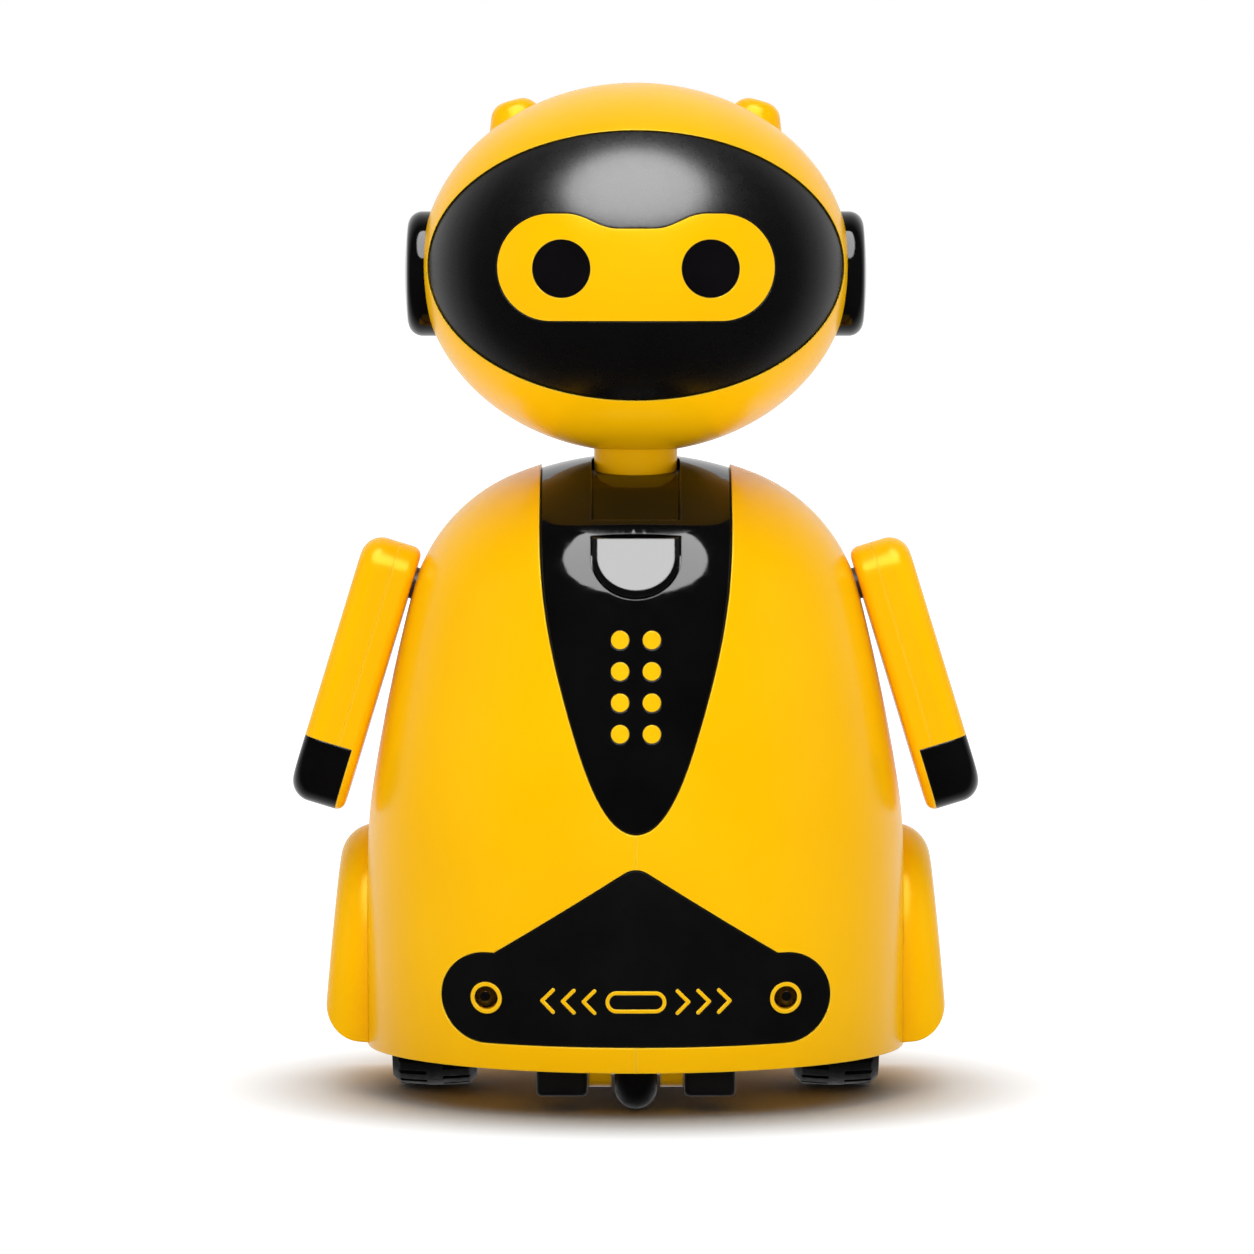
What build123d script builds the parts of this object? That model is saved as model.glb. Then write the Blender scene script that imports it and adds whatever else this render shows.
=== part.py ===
from build123d import *
import os
from math import acos, cos, pi, radians, sin, sqrt, tan

# Toy robot on two drive wheels and a front roller.  Millimetres, +Z up, the
# robot faces -Y, and the origin lies on the floor under the middle of the body.
# Left and right are the robot's own, so its left is at +X.

os.makedirs("parts", exist_ok=True)

# ---- Driving dimensions ----------------------------------------------------

# Body: a turned dome whose outline is a skirt and four tangent arcs.
body_radius = 40.3
rim_height = 6.45
skirt_top = 33.8
wall = 1.8
hip_bend, hip_turn = 80.0, 9.0
flank_bend, flank_turn = 300.0, 5.5
shoulder_bend, shoulder_turn = 26.0, 53.5
crown_turn = 90 - hip_turn - flank_turn - shoulder_turn
seam_gap = 0.15
reach = 60.0

# Black band that runs down the chest and over the shoulders.
band_half = 14.0
band_sink = 0.5
band_wall = 2.6
band_shoulder = 86.0
chest_tip = 41.1
back_tip = 62.0
channel_half = 6.6
channel_depth = 1.2

# Mode button in the chest band.
button_tilt = 30.5
button_half = 6.35
button_top = 3.6
button_gap = 0.25
button_travel = 0.8

# Speaker studs.
stud_radius = 1.32
stud_pitch_x = 4.6
stud_pitch_z = 4.5
studs_high = 62.2
stud_rows = 4

# Front plate with the two obstacle sensors.
plate_wall = 1.6
plate_end_radius = 6.5
plate_end_x = 21.8
plate_end_z = 16.8
plate_peak = 36.4
plate_shoulder_x, plate_shoulder_z = 20.6, 23.3
ring_outer, ring_inner = 2.3, 1.7
emitter_radius = 1.5

# Head: an oblate ball on a neck.
head_radius = 32.0
head_half_height = 27.45
head_y = -6.0
head_z = 122.9
head_split = 122.0
visor_half_x, visor_half_z = 30.6, 19.5
visor_z = 123.2
visor_sink, visor_wall = 0.2, 2.2
visor_depth = 7.5
mask_end_radius = 7.75
mask_end_x = 12.4
mask_z = 122.95
mask_peak_x = 10.4
mask_notch_half = 2.4
mask_notch_depth = 2.2
mask_wall = 1.2
eye_x, eye_z, eye_radius = 10.8, 122.75, 4.15
ear_radius = 9.3
ear_y = head_y + 3.0
ear_inner, ear_outer = 28.9, 34.4
horn_x, horn_y, horn_lean = 17.4, 9.0, 16.0
horn_radius, horn_height, horn_taper, horn_round = 4.8, 4.7, 22.0, 2.7
neck_radius, neck_bore = 6.2, 4.4

# Arms, hung on pins square to the shoulders.
arm_tilt = 17.0
arm_gap = 0.35
arm_top_radius, arm_end_radius = 5.3, 6.5
arm_outer_round, arm_inner_round = 3.2, 1.4
arm_span = 29.5
arm_thickness = 8.7
arm_splay = 1.6
arm_split = 3.4
arm_skin = 1.5
hand_line = 26.3
hand_back = 1.3
pin_radius = 2.4

# Wheels and drive.
wheel_radius = 12.0
wheel_inner, wheel_outer = 23.8, 36.4
hub_radius = 9.3
axle_radius = 1.0
running_gap = 0.07
module = 0.5
pressure = radians(25)
backlash = 0.14
pinion_teeth = 10
idler_teeth = 30
axle_teeth = 26
mesh_up = radians(60)
mesh_over = radians(120)

# Front roller, line sensors and base.
roller_radius = 6.0
roller_half = 3.1
roller_y = -29.0
lug_inner, lug_outer = 3.6, 6.9
sensor_inner, sensor_outer = 7.1, 14.5
sensor_bottom = 2.2
base_radius = 38.3
base_bottom, base_top = 6.9, 8.9
cell_radius, cell_length = 5.25, 44.5
cell_x = 5.6
cell_y, cell_z = 1.65, 15.0
door_half_x, door_front, door_back = 12.4, -21.6, 25.4

# ---- Shapes that several parts share ---------------------------------------

hip_r = body_radius - hip_bend * (1 - cos(radians(hip_turn)))
hip_z = skirt_top + hip_bend * sin(radians(hip_turn))
flank_end = radians(hip_turn + flank_turn)
flank_r = hip_r - flank_bend * (cos(radians(hip_turn)) - cos(flank_end))
flank_z = hip_z + flank_bend * (sin(flank_end) - sin(radians(hip_turn)))
shoulder_r = flank_r - shoulder_bend * cos(flank_end)
shoulder_z = flank_z - shoulder_bend * sin(flank_end)
crown_r = shoulder_r + shoulder_bend * sin(radians(crown_turn))
crown_bend = crown_r / sin(radians(crown_turn))


def save(builder, name):
    """Labels a finished sub-part and writes it."""
    builder.part.label = name
    export_step(builder.part, f"parts/{name}.step")


def save_pair(builder, name):
    """Writes the left sub-part, and its mirror image as the right one."""
    save(builder, f"{name}_left")
    with BuildPart() as other:
        mirror(builder.part, about=Plane.YZ)
    save(other, f"{name}_right")


def dome(inset):
    """The body's outline as a solid, set in all over by inset."""
    with BuildPart() as solid:
        with BuildSketch(Plane.XZ):
            with BuildLine():
                skirt = Line((body_radius - inset, rim_height), (body_radius - inset, skirt_top))
                hip = JernArc(skirt @ 1, (0, 1), hip_bend - inset, hip_turn)
                flank = JernArc(hip @ 1, hip % 1, flank_bend - inset, flank_turn)
                shoulder = JernArc(flank @ 1, flank % 1, shoulder_bend - inset, shoulder_turn)
                crown = JernArc(shoulder @ 1, shoulder % 1, crown_bend - inset, crown_turn)
                Line(crown @ 1, (0, rim_height))
                Line((0, rim_height), skirt @ 0)
            make_face()
        revolve(axis=Axis.Z)
    return solid.part


def dome_skin(outer, inner):
    """The layer of the body between two insets."""
    with BuildPart() as skin:
        add(dome(outer))
        add(dome(inner), mode=Mode.SUBTRACT)
    return skin.part


def ball(inset):
    """The head's outline as a solid, set in by inset."""
    with BuildPart() as solid:
        with BuildSketch(Plane((0, head_y, head_z), x_dir=(1, 0, 0), z_dir=(0, -1, 0))):
            with BuildLine():
                side = EllipticalCenterArc(
                    (0, 0), head_radius - inset, head_half_height - inset, start_angle=-90, arc_size=180
                )
                Line(side @ 1, side @ 0)
            make_face()
        revolve(axis=Axis((0, head_y, 0), (0, 0, 1)))
    return solid.part


def ball_skin(outer, inner):
    """The layer of the head between two insets."""
    with BuildPart() as skin:
        add(ball(outer))
        add(ball(inner), mode=Mode.SUBTRACT)
    return skin.part


def tongue(tip, gap):
    """Front view of the band: straight at the top and narrowing to a round tip."""
    ceiling = head_z
    half = band_half + gap
    waist = (half * 0.68, tip + (band_shoulder - tip) * 0.352)
    with BuildSketch() as outline:
        with BuildLine():
            right = Spline(
                (half, band_shoulder),
                waist,
                (0, tip - gap),
                tangents=[(0, -1), (-1, 0)],
                tangent_scalars=[1.1, 0.75],
            )
            mirror(right, about=Plane.YZ)
            Polyline((half, band_shoulder), (half, ceiling), (-half, ceiling), (-half, band_shoulder))
        make_face()
    return outline.sketch


def band_block(gap):
    """Everything that lies behind the band's outline, front and back."""
    with BuildPart() as block:
        with BuildSketch(Plane.XZ):
            add(tongue(chest_tip, gap))
        extrude(amount=reach)
        with BuildSketch(Plane.XZ):
            add(tongue(back_tip, gap))
        extrude(amount=-reach)
    return block.part


def plate_block(gap):
    """Everything that lies behind the front plate's outline."""
    with BuildPart() as block:
        with BuildSketch(Plane.XZ) as face:
            with Locations((-plate_end_x, plate_end_z), (plate_end_x, plate_end_z)):
                Circle(plate_end_radius)
            with Locations((0, plate_end_z)):
                Rectangle(2 * plate_end_x, 2 * plate_end_radius)
            with BuildLine():
                Polyline(
                    (-plate_shoulder_x, plate_end_z),
                    (-plate_shoulder_x, plate_shoulder_z),
                    (0, plate_peak),
                    (plate_shoulder_x, plate_shoulder_z),
                    (plate_shoulder_x, plate_end_z),
                    close=True,
                )
            make_face()
            fillet(face.vertices().sort_by(Axis.Y)[-1], 3.0)
            offset(amount=gap)
        extrude(amount=reach)
    return block.part


def surface_plane(angle, toward_front):
    """Plane that touches the shoulder where the surface leans by angle."""
    lean = radians(angle)
    radius = shoulder_r + shoulder_bend * cos(lean)
    height = shoulder_z + shoulder_bend * sin(lean)
    if toward_front:
        return Plane((0, -radius, height), x_dir=(1, 0, 0), z_dir=(0, -cos(lean), sin(lean)))
    return Plane((radius, 0, height), x_dir=(0, 1, 0), z_dir=(cos(lean), 0, sin(lean)))


button_plane = surface_plane(button_tilt, True)
shoulder_plane = surface_plane(arm_tilt, False)
arm_plane = shoulder_plane.offset(arm_gap)


def button_outline(grow):
    """D shape with its straight side on top."""
    half = button_half + grow
    top = button_top + grow
    with BuildSketch() as outline:
        with BuildLine():
            bowl = ThreePointArc((-half, 0), (0, -half), (half, 0))
            Polyline(bowl @ 1, (half, top), (-half, top), bowl @ 0)
        make_face()
    return outline.sketch


# ---- Body shells and their bosses ------------------------------------------

boss_radius, boss_hole = 2.8, 0.9
boss_top = 19.0
screw_ring = 36.0
screw_angles = (-30.0, 45.0)
screw_spots = [
    (side * screw_ring * cos(radians(angle)), screw_ring * sin(radians(angle)))
    for side in (1, -1)
    for angle in screw_angles
]

with BuildPart() as bosses:
    with BuildSketch(Plane.XY.offset(base_top)):
        with Locations(*screw_spots[:2]):
            Circle(boss_radius)
    extrude(amount=boss_top - base_top)
    add(dome(wall / 2), mode=Mode.INTERSECT)

with BuildPart() as body_shell:
    add(dome_skin(0, wall))
    split(bisect_by=Plane.YZ, keep=Keep.TOP)
    add(band_block(seam_gap), mode=Mode.SUBTRACT)
    add(plate_block(seam_gap), mode=Mode.SUBTRACT)
    with BuildSketch(shoulder_plane.offset(-2 * wall)):
        Circle(pin_radius + running_gap)
    extrude(amount=4 * wall, mode=Mode.SUBTRACT)
    add(bosses.part)
    with BuildSketch(Plane.XY.offset(base_top)):
        with Locations(*screw_spots[:2]):
            Circle(boss_hole)
    extrude(amount=boss_top - base_top - 1, mode=Mode.SUBTRACT)
save_pair(body_shell, "body_shell")

# ---- Chest band, mode button and speaker -----------------------------------

neck_hole = neck_radius + 0.3
band_inner = band_sink + band_wall
stud_heights = [studs_high + stud_pitch_z * (row - (stud_rows - 1) / 2) for row in range(stud_rows)]
stud_spots = [(side * stud_pitch_x / 2, height) for side in (-1, 1) for height in stud_heights]

with BuildPart() as neck_channel:
    add(dome(0))
    add(dome(band_sink + channel_depth), mode=Mode.SUBTRACT)
    with BuildSketch(Plane.XY.offset(band_shoulder)):
        with Locations((0, head_y - reach / 2)):
            Rectangle(2 * channel_half, reach)
        with Locations((0, head_y)):
            Circle(channel_half)
    extrude(amount=reach, mode=Mode.INTERSECT)

with BuildPart() as chest_band:
    add(dome_skin(band_sink, band_inner))
    add(band_block(0), mode=Mode.INTERSECT)
    add(neck_channel.part, mode=Mode.SUBTRACT)
    with BuildSketch(Plane.XY.offset(band_shoulder)):
        with Locations((0, head_y)):
            Circle(neck_hole)
    extrude(amount=reach, mode=Mode.SUBTRACT)
    with BuildSketch(button_plane.offset(-2 * band_inner)):
        add(button_outline(button_gap))
    extrude(amount=4 * band_inner, mode=Mode.SUBTRACT)
    with BuildSketch(Plane.XZ.offset(body_radius / 2)):
        with Locations(*stud_spots):
            Circle(stud_radius + 0.05)
    extrude(amount=body_radius, mode=Mode.SUBTRACT)
save(chest_band, "chest_band")

with BuildPart() as studs:
    with BuildSketch(Plane.XZ.offset(body_radius / 2)):
        with Locations(*stud_spots):
            Circle(stud_radius)
    extrude(amount=body_radius)
    add(dome(band_sink - 0.1), mode=Mode.INTERSECT)
    add(dome(band_inner + 1.1), mode=Mode.SUBTRACT)
with BuildPart() as stud_web:
    with BuildSketch(Plane.XZ.offset(body_radius / 2)):
        with Locations((0, studs_high)):
            Rectangle(8.6, 17.6)
    extrude(amount=body_radius)
    add(dome_skin(band_inner + 0.1, band_inner + 1.1), mode=Mode.INTERSECT)
with BuildPart() as speaker_studs:
    add(studs.part)
    add(stud_web.part)
save(speaker_studs, "speaker_studs")

speaker_radius, speaker_front = 9.6, 29.0
with BuildPart() as speaker:
    with BuildSketch(Plane.XZ.offset(speaker_front)):
        with Locations((0, studs_high)):
            Circle(speaker_radius)
    extrude(amount=-1.6)
    with BuildSketch(Plane.XZ.offset(speaker_front - 1.6)):
        with Locations((0, studs_high)):
            Circle(speaker_radius - 2)
    extrude(amount=-2.0, taper=25)
    with BuildSketch(Plane.XZ.offset(speaker_front - 3.6)):
        with Locations((0, studs_high)):
            Circle(speaker_radius / 2)
    extrude(amount=-3.0)
save(speaker, "speaker")

cap_sink, flange_sink, flange_depth = 0.45, 4.5, 0.8
stem_end = 5.9
with BuildPart() as mode_button:
    with BuildSketch(button_plane.offset(-flange_sink)):
        add(button_outline(0))
    extrude(amount=flange_sink - cap_sink)
    chamfer(faces().sort_by(Axis(button_plane.origin, button_plane.z_dir))[-1].edges(), 0.7)
    with BuildSketch(button_plane.offset(-flange_sink)):
        add(button_outline(0.9))
    extrude(amount=-flange_depth)
    with BuildSketch(button_plane.offset(-flange_sink - flange_depth)):
        Circle(1.5)
    extrude(amount=flange_sink + flange_depth - stem_end)
save(mode_button, "mode_button")

switch_plunger = stem_end + button_travel + 0.2
with BuildPart() as mode_switch:
    with BuildSketch(button_plane.offset(-switch_plunger)):
        Circle(1.6)
    extrude(amount=-0.8)
    with BuildSketch(button_plane.offset(-switch_plunger - 0.8)):
        Rectangle(6, 6)
    extrude(amount=-3.2)
    with BuildSketch(button_plane.offset(-switch_plunger - 4.0)):
        Rectangle(20, 11)
        with Locations((-8, 0), (8, 0)):
            Circle(1.1, mode=Mode.SUBTRACT)
    extrude(amount=-1.2)
save(mode_switch, "mode_switch")

# ---- Front plate, trim and obstacle sensors --------------------------------

sensor_spots = [(-plate_end_x, plate_end_z), (plate_end_x, plate_end_z)]
trim_depth = 0.35
trim_line = 0.55
capsule_half_x, capsule_half_z = 4.4, 1.6
chevron_step, chevron_reach = 3.0, 1.6

with BuildPart() as trim_block:
    with BuildSketch(Plane.XZ.offset(body_radius / 2)):
        with Locations((0, plate_end_z)):
            SlotOverall(2 * capsule_half_x, 2 * capsule_half_z)
            SlotOverall(
                2 * (capsule_half_x - trim_line), 2 * (capsule_half_z - trim_line), mode=Mode.SUBTRACT
            )
        for side in (-1, 1):
            for step in range(3):
                back = side * (capsule_half_x + 1.6 + step * chevron_step)
                tip = back + side * chevron_reach
                with BuildLine():
                    arrow = Polyline(
                        (back, plate_end_z + capsule_half_z),
                        (tip, plate_end_z),
                        (back, plate_end_z - capsule_half_z),
                    )
                    offset(arrow, amount=trim_line / 2, mode=Mode.REPLACE)
                make_face()
    extrude(amount=body_radius)

with BuildPart() as front_plate:
    add(dome_skin(0.1, plate_wall))
    add(plate_block(0), mode=Mode.INTERSECT)
    with BuildSketch(Plane.XZ.offset(body_radius / 2)):
        with Locations(*sensor_spots):
            Circle(ring_outer)
    extrude(amount=body_radius, mode=Mode.SUBTRACT)
with BuildPart() as plate_trim:
    add(dome_skin(0.02, 0.1 + trim_depth))
    add(trim_block.part, mode=Mode.INTERSECT)
with BuildPart() as plate_with_grooves:
    add(front_plate.part)
    add(plate_trim.part, mode=Mode.SUBTRACT)
save(plate_with_grooves, "front_plate")
save(plate_trim, "plate_trim")

ring_front = sqrt(body_radius**2 - (plate_end_x - ring_outer) ** 2) - 1.2
with BuildPart() as sensor_rings:
    with BuildSketch(Plane.XZ.offset(ring_front - 7.0)):
        with Locations(*sensor_spots):
            Circle(ring_outer)
            Circle(ring_inner, mode=Mode.SUBTRACT)
    extrude(amount=reach)
    add(dome(-0.15), mode=Mode.INTERSECT)
save(sensor_rings, "sensor_rings")

with BuildPart() as obstacle_sensors:
    with BuildSketch(Plane.XZ.offset(ring_front - 8.0)):
        with Locations(*sensor_spots):
            Circle(emitter_radius)
    extrude(amount=6.6)
    fillet(faces().filter_by(Plane.XZ).group_by(Axis.Y)[0].edges(), 1.2)
    with BuildSketch(Plane.XZ.offset(ring_front - 8.0)):
        with Locations(*sensor_spots):
            Circle(emitter_radius + 0.4)
    extrude(amount=-1.0)
save(obstacle_sensors, "obstacle_sensors")

# ---- Side fenders ----------------------------------------------------------

fender_out, fender_lean = 46.6, 5.0
fender_y, fender_half, fender_crown = 12.5, 16.0, 38.9
fender_level, fender_foot = 13.0, 7.3
fender_round = 5.5


def fender_solid(inset):
    """Arch-shaped bulge on the robot's left, set in by inset."""
    lean = radians(fender_lean)
    face = Plane(
        (fender_out - inset, fender_y, fender_level), x_dir=(0, 1, 0), z_dir=(cos(lean), 0, sin(lean))
    )
    half = fender_half - inset
    up = (fender_crown - fender_level) / cos(lean) - inset
    down = (fender_level - fender_foot) / cos(lean)
    with BuildPart() as solid:
        with BuildSketch(face):
            with BuildLine():
                arch = EllipticalCenterArc((0, 0), half, up, start_angle=0, arc_size=180)
                Polyline(arch @ 1, (-half, -down), (half, -down), arch @ 0)
            make_face()
        extrude(amount=-fender_out / 2)
        rim = faces().sort_by(Axis.X)[-1].edges()
        fillet(rim, fender_round - inset / 2)
    return solid.part


with BuildPart() as fender:
    add(fender_solid(0))
    add(fender_solid(wall), mode=Mode.SUBTRACT)
    add(dome(0), mode=Mode.SUBTRACT)
    with BuildSketch():
        Circle(body_radius)
    extrude(amount=rim_height, mode=Mode.SUBTRACT)
save_pair(fender, "fender")

# ---- Base, battery box and door --------------------------------------------

slot_half = wheel_radius + 1.2
slot_inner = wheel_inner - 0.6
gear_pocket_inner, gear_pocket_outer = 19.2, 21.7
pocket_half = 7.6
pocket_floor, pocket_skin = 4.7, 0.8
roller_slot_half = 3.45
roller_slot_front, roller_slot_back = -36.0, -22.4
lug_radius = 2.8
knob_x, knob_y, knob_travel = 14.0, 30.0, 2.0
knob_half_x, knob_half_y = 2.0, 1.3
skid_y, skid_radius, skid_clear = 34.0, 1.8, 0.35

with BuildPart() as chassis_base:
    with BuildSketch(Plane.XY.offset(base_bottom)):
        Circle(base_radius)
        with Locations((slot_inner + reach / 2, 0), (-slot_inner - reach / 2, 0)):
            Rectangle(reach, 2 * slot_half, mode=Mode.SUBTRACT)
        with Locations((0, (roller_slot_front + roller_slot_back) / 2)):
            Rectangle(2 * roller_slot_half, roller_slot_back - roller_slot_front, mode=Mode.SUBTRACT)
        with Locations((0, (door_front + door_back) / 2)):
            Rectangle(2 * door_half_x + 0.3, door_back - door_front + 0.3, mode=Mode.SUBTRACT)
        with Locations((knob_x, knob_y)):
            Rectangle(
                2 * (knob_half_x + knob_travel) + 0.4, 2 * knob_half_y + 0.4, mode=Mode.SUBTRACT
            )
        with Locations(*screw_spots):
            Circle(1.1, mode=Mode.SUBTRACT)
    extrude(amount=base_top - base_bottom)
    with BuildSketch(Plane.XY.offset(base_bottom)):
        with Locations(*screw_spots):
            Circle(2.2)
    extrude(amount=1.2, mode=Mode.SUBTRACT)
    pocket_x = (gear_pocket_inner + gear_pocket_outer) / 2
    pocket_width = gear_pocket_outer - gear_pocket_inner
    with BuildSketch(Plane.XY.offset(pocket_floor - pocket_skin)):
        with Locations((-pocket_x, 0), (pocket_x, 0)):
            Rectangle(pocket_width + 2 * pocket_skin, 2 * (pocket_half + pocket_skin))
    extrude(amount=base_bottom - pocket_floor + pocket_skin)
    with BuildSketch(Plane.XY.offset(pocket_floor)):
        with Locations((-pocket_x, 0), (pocket_x, 0)):
            Rectangle(pocket_width, 2 * pocket_half)
    extrude(amount=base_top - pocket_floor, mode=Mode.SUBTRACT)
    for side in (-1, 1):
        with BuildSketch(Plane.YZ.offset(side * (lug_inner + lug_outer) / 2)):
            with Locations((roller_y, roller_radius)):
                Circle(lug_radius)
            with Locations((roller_y, (roller_radius + base_top) / 2)):
                Rectangle(2 * lug_radius, base_top - roller_radius)
        extrude(amount=(lug_outer - lug_inner) / 2, both=True)
    with BuildSketch(Plane.YZ):
        with Locations((roller_y, roller_radius)):
            Circle(axle_radius)
    extrude(amount=lug_outer - 1, both=True, mode=Mode.SUBTRACT)
    with BuildSketch(Plane.XY.offset(base_bottom)):
        with Locations((0, skid_y)):
            Circle(skid_radius)
    extrude(amount=skid_clear - base_bottom)
    fillet(faces().sort_by(Axis.Z)[0].edges(), 1.2)
save(chassis_base, "chassis_base")

door_thickness = 1.4
with BuildPart() as battery_door:
    with BuildSketch(Plane.XY.offset(base_bottom)):
        with Locations((0, (door_front + door_back) / 2)):
            Rectangle(2 * door_half_x, door_back - door_front)
    extrude(amount=door_thickness)
    with BuildSketch(Plane.XY.offset(base_bottom)):
        with Locations((0, door_back - 8)):
            with GridLocations(0, 1.6, 1, 5):
                SlotOverall(10, 0.8)
    extrude(amount=0.4, mode=Mode.SUBTRACT)
save(battery_door, "battery_door")

box_wall, box_top = 0.9, 21.6
with BuildPart() as battery_box:
    with BuildSketch(Plane.XY.offset(base_top)):
        with Locations((0, (door_front + door_back) / 2)):
            Rectangle(2 * door_half_x, door_back - door_front + 1.4)
    extrude(amount=box_top - base_top)
    with BuildSketch(Plane.XY.offset(base_top)):
        with Locations((0, (door_front + door_back) / 2)):
            Rectangle(2 * (door_half_x - box_wall), door_back - door_front - 0.4)
    extrude(amount=box_top - base_top - box_wall, mode=Mode.SUBTRACT)
save(battery_box, "battery_box")

button_end = 1.0
with BuildPart() as battery_cells:
    with BuildSketch(Plane.XZ.offset(-cell_y)):
        with Locations((-cell_x, cell_z), (cell_x, cell_z)):
            Circle(cell_radius)
    extrude(amount=cell_length / 2)
    extrude(faces().filter_by(Plane.XZ).group_by(Axis.Y)[-1], amount=cell_length / 2 - button_end)
    with BuildSketch(Plane.XZ.offset(-cell_y)):
        with Locations((-cell_x, cell_z), (cell_x, cell_z)):
            Circle(1.9)
    extrude(amount=-cell_length / 2)
save(battery_cells, "battery_cells")

with BuildPart() as battery_contacts:
    for end, depth in ((cell_y - cell_length / 2, -0.5), (cell_y + cell_length / 2, 0.5)):
        with BuildSketch(Plane.XZ.offset(-end)):
            with Locations((-cell_x, cell_z), (cell_x, cell_z)):
                RectangleRounded(8.5, 8.5, 1)
        extrude(amount=-depth)
save(battery_contacts, "battery_contacts")

with BuildPart() as power_switch:
    with BuildSketch(Plane.XY.offset(base_top)):
        with Locations((knob_x, knob_y)):
            Rectangle(11, 5)
    extrude(amount=4.5)
save(power_switch, "power_switch")

with BuildPart() as switch_knob:
    with BuildSketch(Plane.XY.offset(base_bottom - 1.3)):
        with Locations((knob_x - knob_travel, knob_y)):
            Rectangle(2 * knob_half_x, 2 * knob_half_y)
    extrude(amount=base_top - base_bottom + 1.2)
    chamfer(faces().sort_by(Axis.Z)[0].edges(), 0.4)
save(switch_knob, "switch_knob")

with BuildPart() as base_screws:
    with BuildSketch(Plane.XY.offset(base_bottom + 0.1)):
        with Locations(*screw_spots):
            Circle(1.9)
            RegularPolygon(0.8, 6, mode=Mode.SUBTRACT)
    extrude(amount=0.7)
    with BuildSketch(Plane.XY.offset(base_bottom + 0.8)):
        with Locations(*screw_spots):
            Circle(1.9)
    extrude(amount=0.4)
    with BuildSketch(Plane.XY.offset(base_bottom + 1.2)):
        with Locations(*screw_spots):
            Circle(boss_hole)
    extrude(amount=7.5)
save(base_screws, "base_screws")

# ---- Front roller and line sensors -----------------------------------------

with BuildPart() as roller:
    with BuildSketch(Plane.XY.offset(roller_radius)):
        with BuildLine():
            tread = ThreePointArc(
                (-roller_half, roller_y - roller_radius + roller_half),
                (0, roller_y - roller_radius),
                (roller_half, roller_y - roller_radius + roller_half),
            )
            Polyline(
                tread @ 1,
                (roller_half, roller_y - axle_radius - running_gap),
                (-roller_half, roller_y - axle_radius - running_gap),
                tread @ 0,
            )
        make_face()
    revolve(axis=Axis((0, roller_y, roller_radius), (1, 0, 0)))
save(roller, "roller")

with BuildPart() as roller_pin:
    with BuildSketch(Plane.YZ):
        with Locations((roller_y, roller_radius)):
            Circle(axle_radius)
    extrude(amount=lug_outer - 1.1, both=True)
save(roller_pin, "roller_pin")

sensor_front, sensor_depth = -33.0, 8.0
with BuildPart() as line_sensors:
    with BuildSketch(Plane.XY.offset(sensor_bottom)):
        with Locations(((sensor_inner + sensor_outer) / 2, sensor_front + sensor_depth / 2)):
            Rectangle(sensor_outer - sensor_inner, sensor_depth)
    extrude(amount=base_bottom - sensor_bottom)
    fillet(edges().filter_by(Axis.Z), 0.9)
    fillet(faces().sort_by(Axis.Z)[0].edges(), 0.7)
    with BuildSketch(Plane.XY.offset(sensor_bottom)):
        with Locations(((sensor_inner + sensor_outer) / 2, sensor_front + sensor_depth / 2)):
            with GridLocations(3.4, 0, 2, 1):
                Circle(1.1)
    extrude(amount=0.6, mode=Mode.SUBTRACT)
    mirror(about=Plane.YZ)
save(line_sensors, "line_sensors")

# ---- Gear train ------------------------------------------------------------

idler_arm = module * (axle_teeth + pinion_teeth) / 2
motor_arm = module * (idler_teeth + pinion_teeth) / 2
idler_y = idler_arm * cos(mesh_up)
idler_z = wheel_radius + idler_arm * sin(mesh_up)
motor_y = idler_y + motor_arm * cos(mesh_over)
motor_z = idler_z + motor_arm * sin(mesh_over)
pinion_inner, pinion_outer = 17.6, 19.3
lower_inner, lower_outer = 19.6, 21.2


def gear_outline(teeth, tooth_at):
    """Involute spur gear with one tooth centred on the angle tooth_at."""
    pitch = module * teeth / 2
    base = pitch * cos(pressure)
    tip = pitch + 0.8 * module
    root = pitch - 1.05 * module
    spread = (pi * module - backlash) / (4 * pitch) + tan(pressure) - pressure
    radii = [max(base, root) + (tip - max(base, root)) * step / 3 for step in range(4)]
    flank = [(radius, spread - tan(acos(base / radius)) + acos(base / radius)) for radius in radii]
    flank.insert(0, (root, flank[0][1] + 0.01))
    points = []
    for tooth in range(teeth):
        centre = tooth_at + tooth * 2 * pi / teeth
        rising = [(radius, centre - angle) for radius, angle in flank]
        falling = [(radius, centre + angle) for radius, angle in reversed(flank)]
        points += [(radius * cos(angle), radius * sin(angle)) for radius, angle in rising + falling]
    with BuildSketch() as outline:
        with BuildLine():
            Polyline(*points, close=True)
        make_face()
    return outline.sketch


axle_gear_phase = mesh_up
idler_small_phase = mesh_up + pi - pi / pinion_teeth
idler_big_phase = mesh_over
pinion_phase = mesh_over + pi - pi / pinion_teeth
axle_inner_end, axle_outer_end = 15.7, 35.4
pin_post = 0.75
shaft_radius = 0.5


def gear_plane(x, y, z):
    """Plane square to the axles, centred on one of them."""
    return Plane((x, y, z), x_dir=(0, 1, 0), z_dir=(1, 0, 0))


with BuildPart() as drive_axle:
    with BuildSketch(gear_plane(axle_inner_end, 0, wheel_radius)):
        Circle(axle_radius)
    extrude(amount=axle_outer_end - axle_inner_end)
    with BuildSketch(gear_plane(lower_inner, 0, wheel_radius)):
        add(gear_outline(axle_teeth, axle_gear_phase))
    extrude(amount=lower_outer - lower_inner)
save_pair(drive_axle, "drive_axle")

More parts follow.
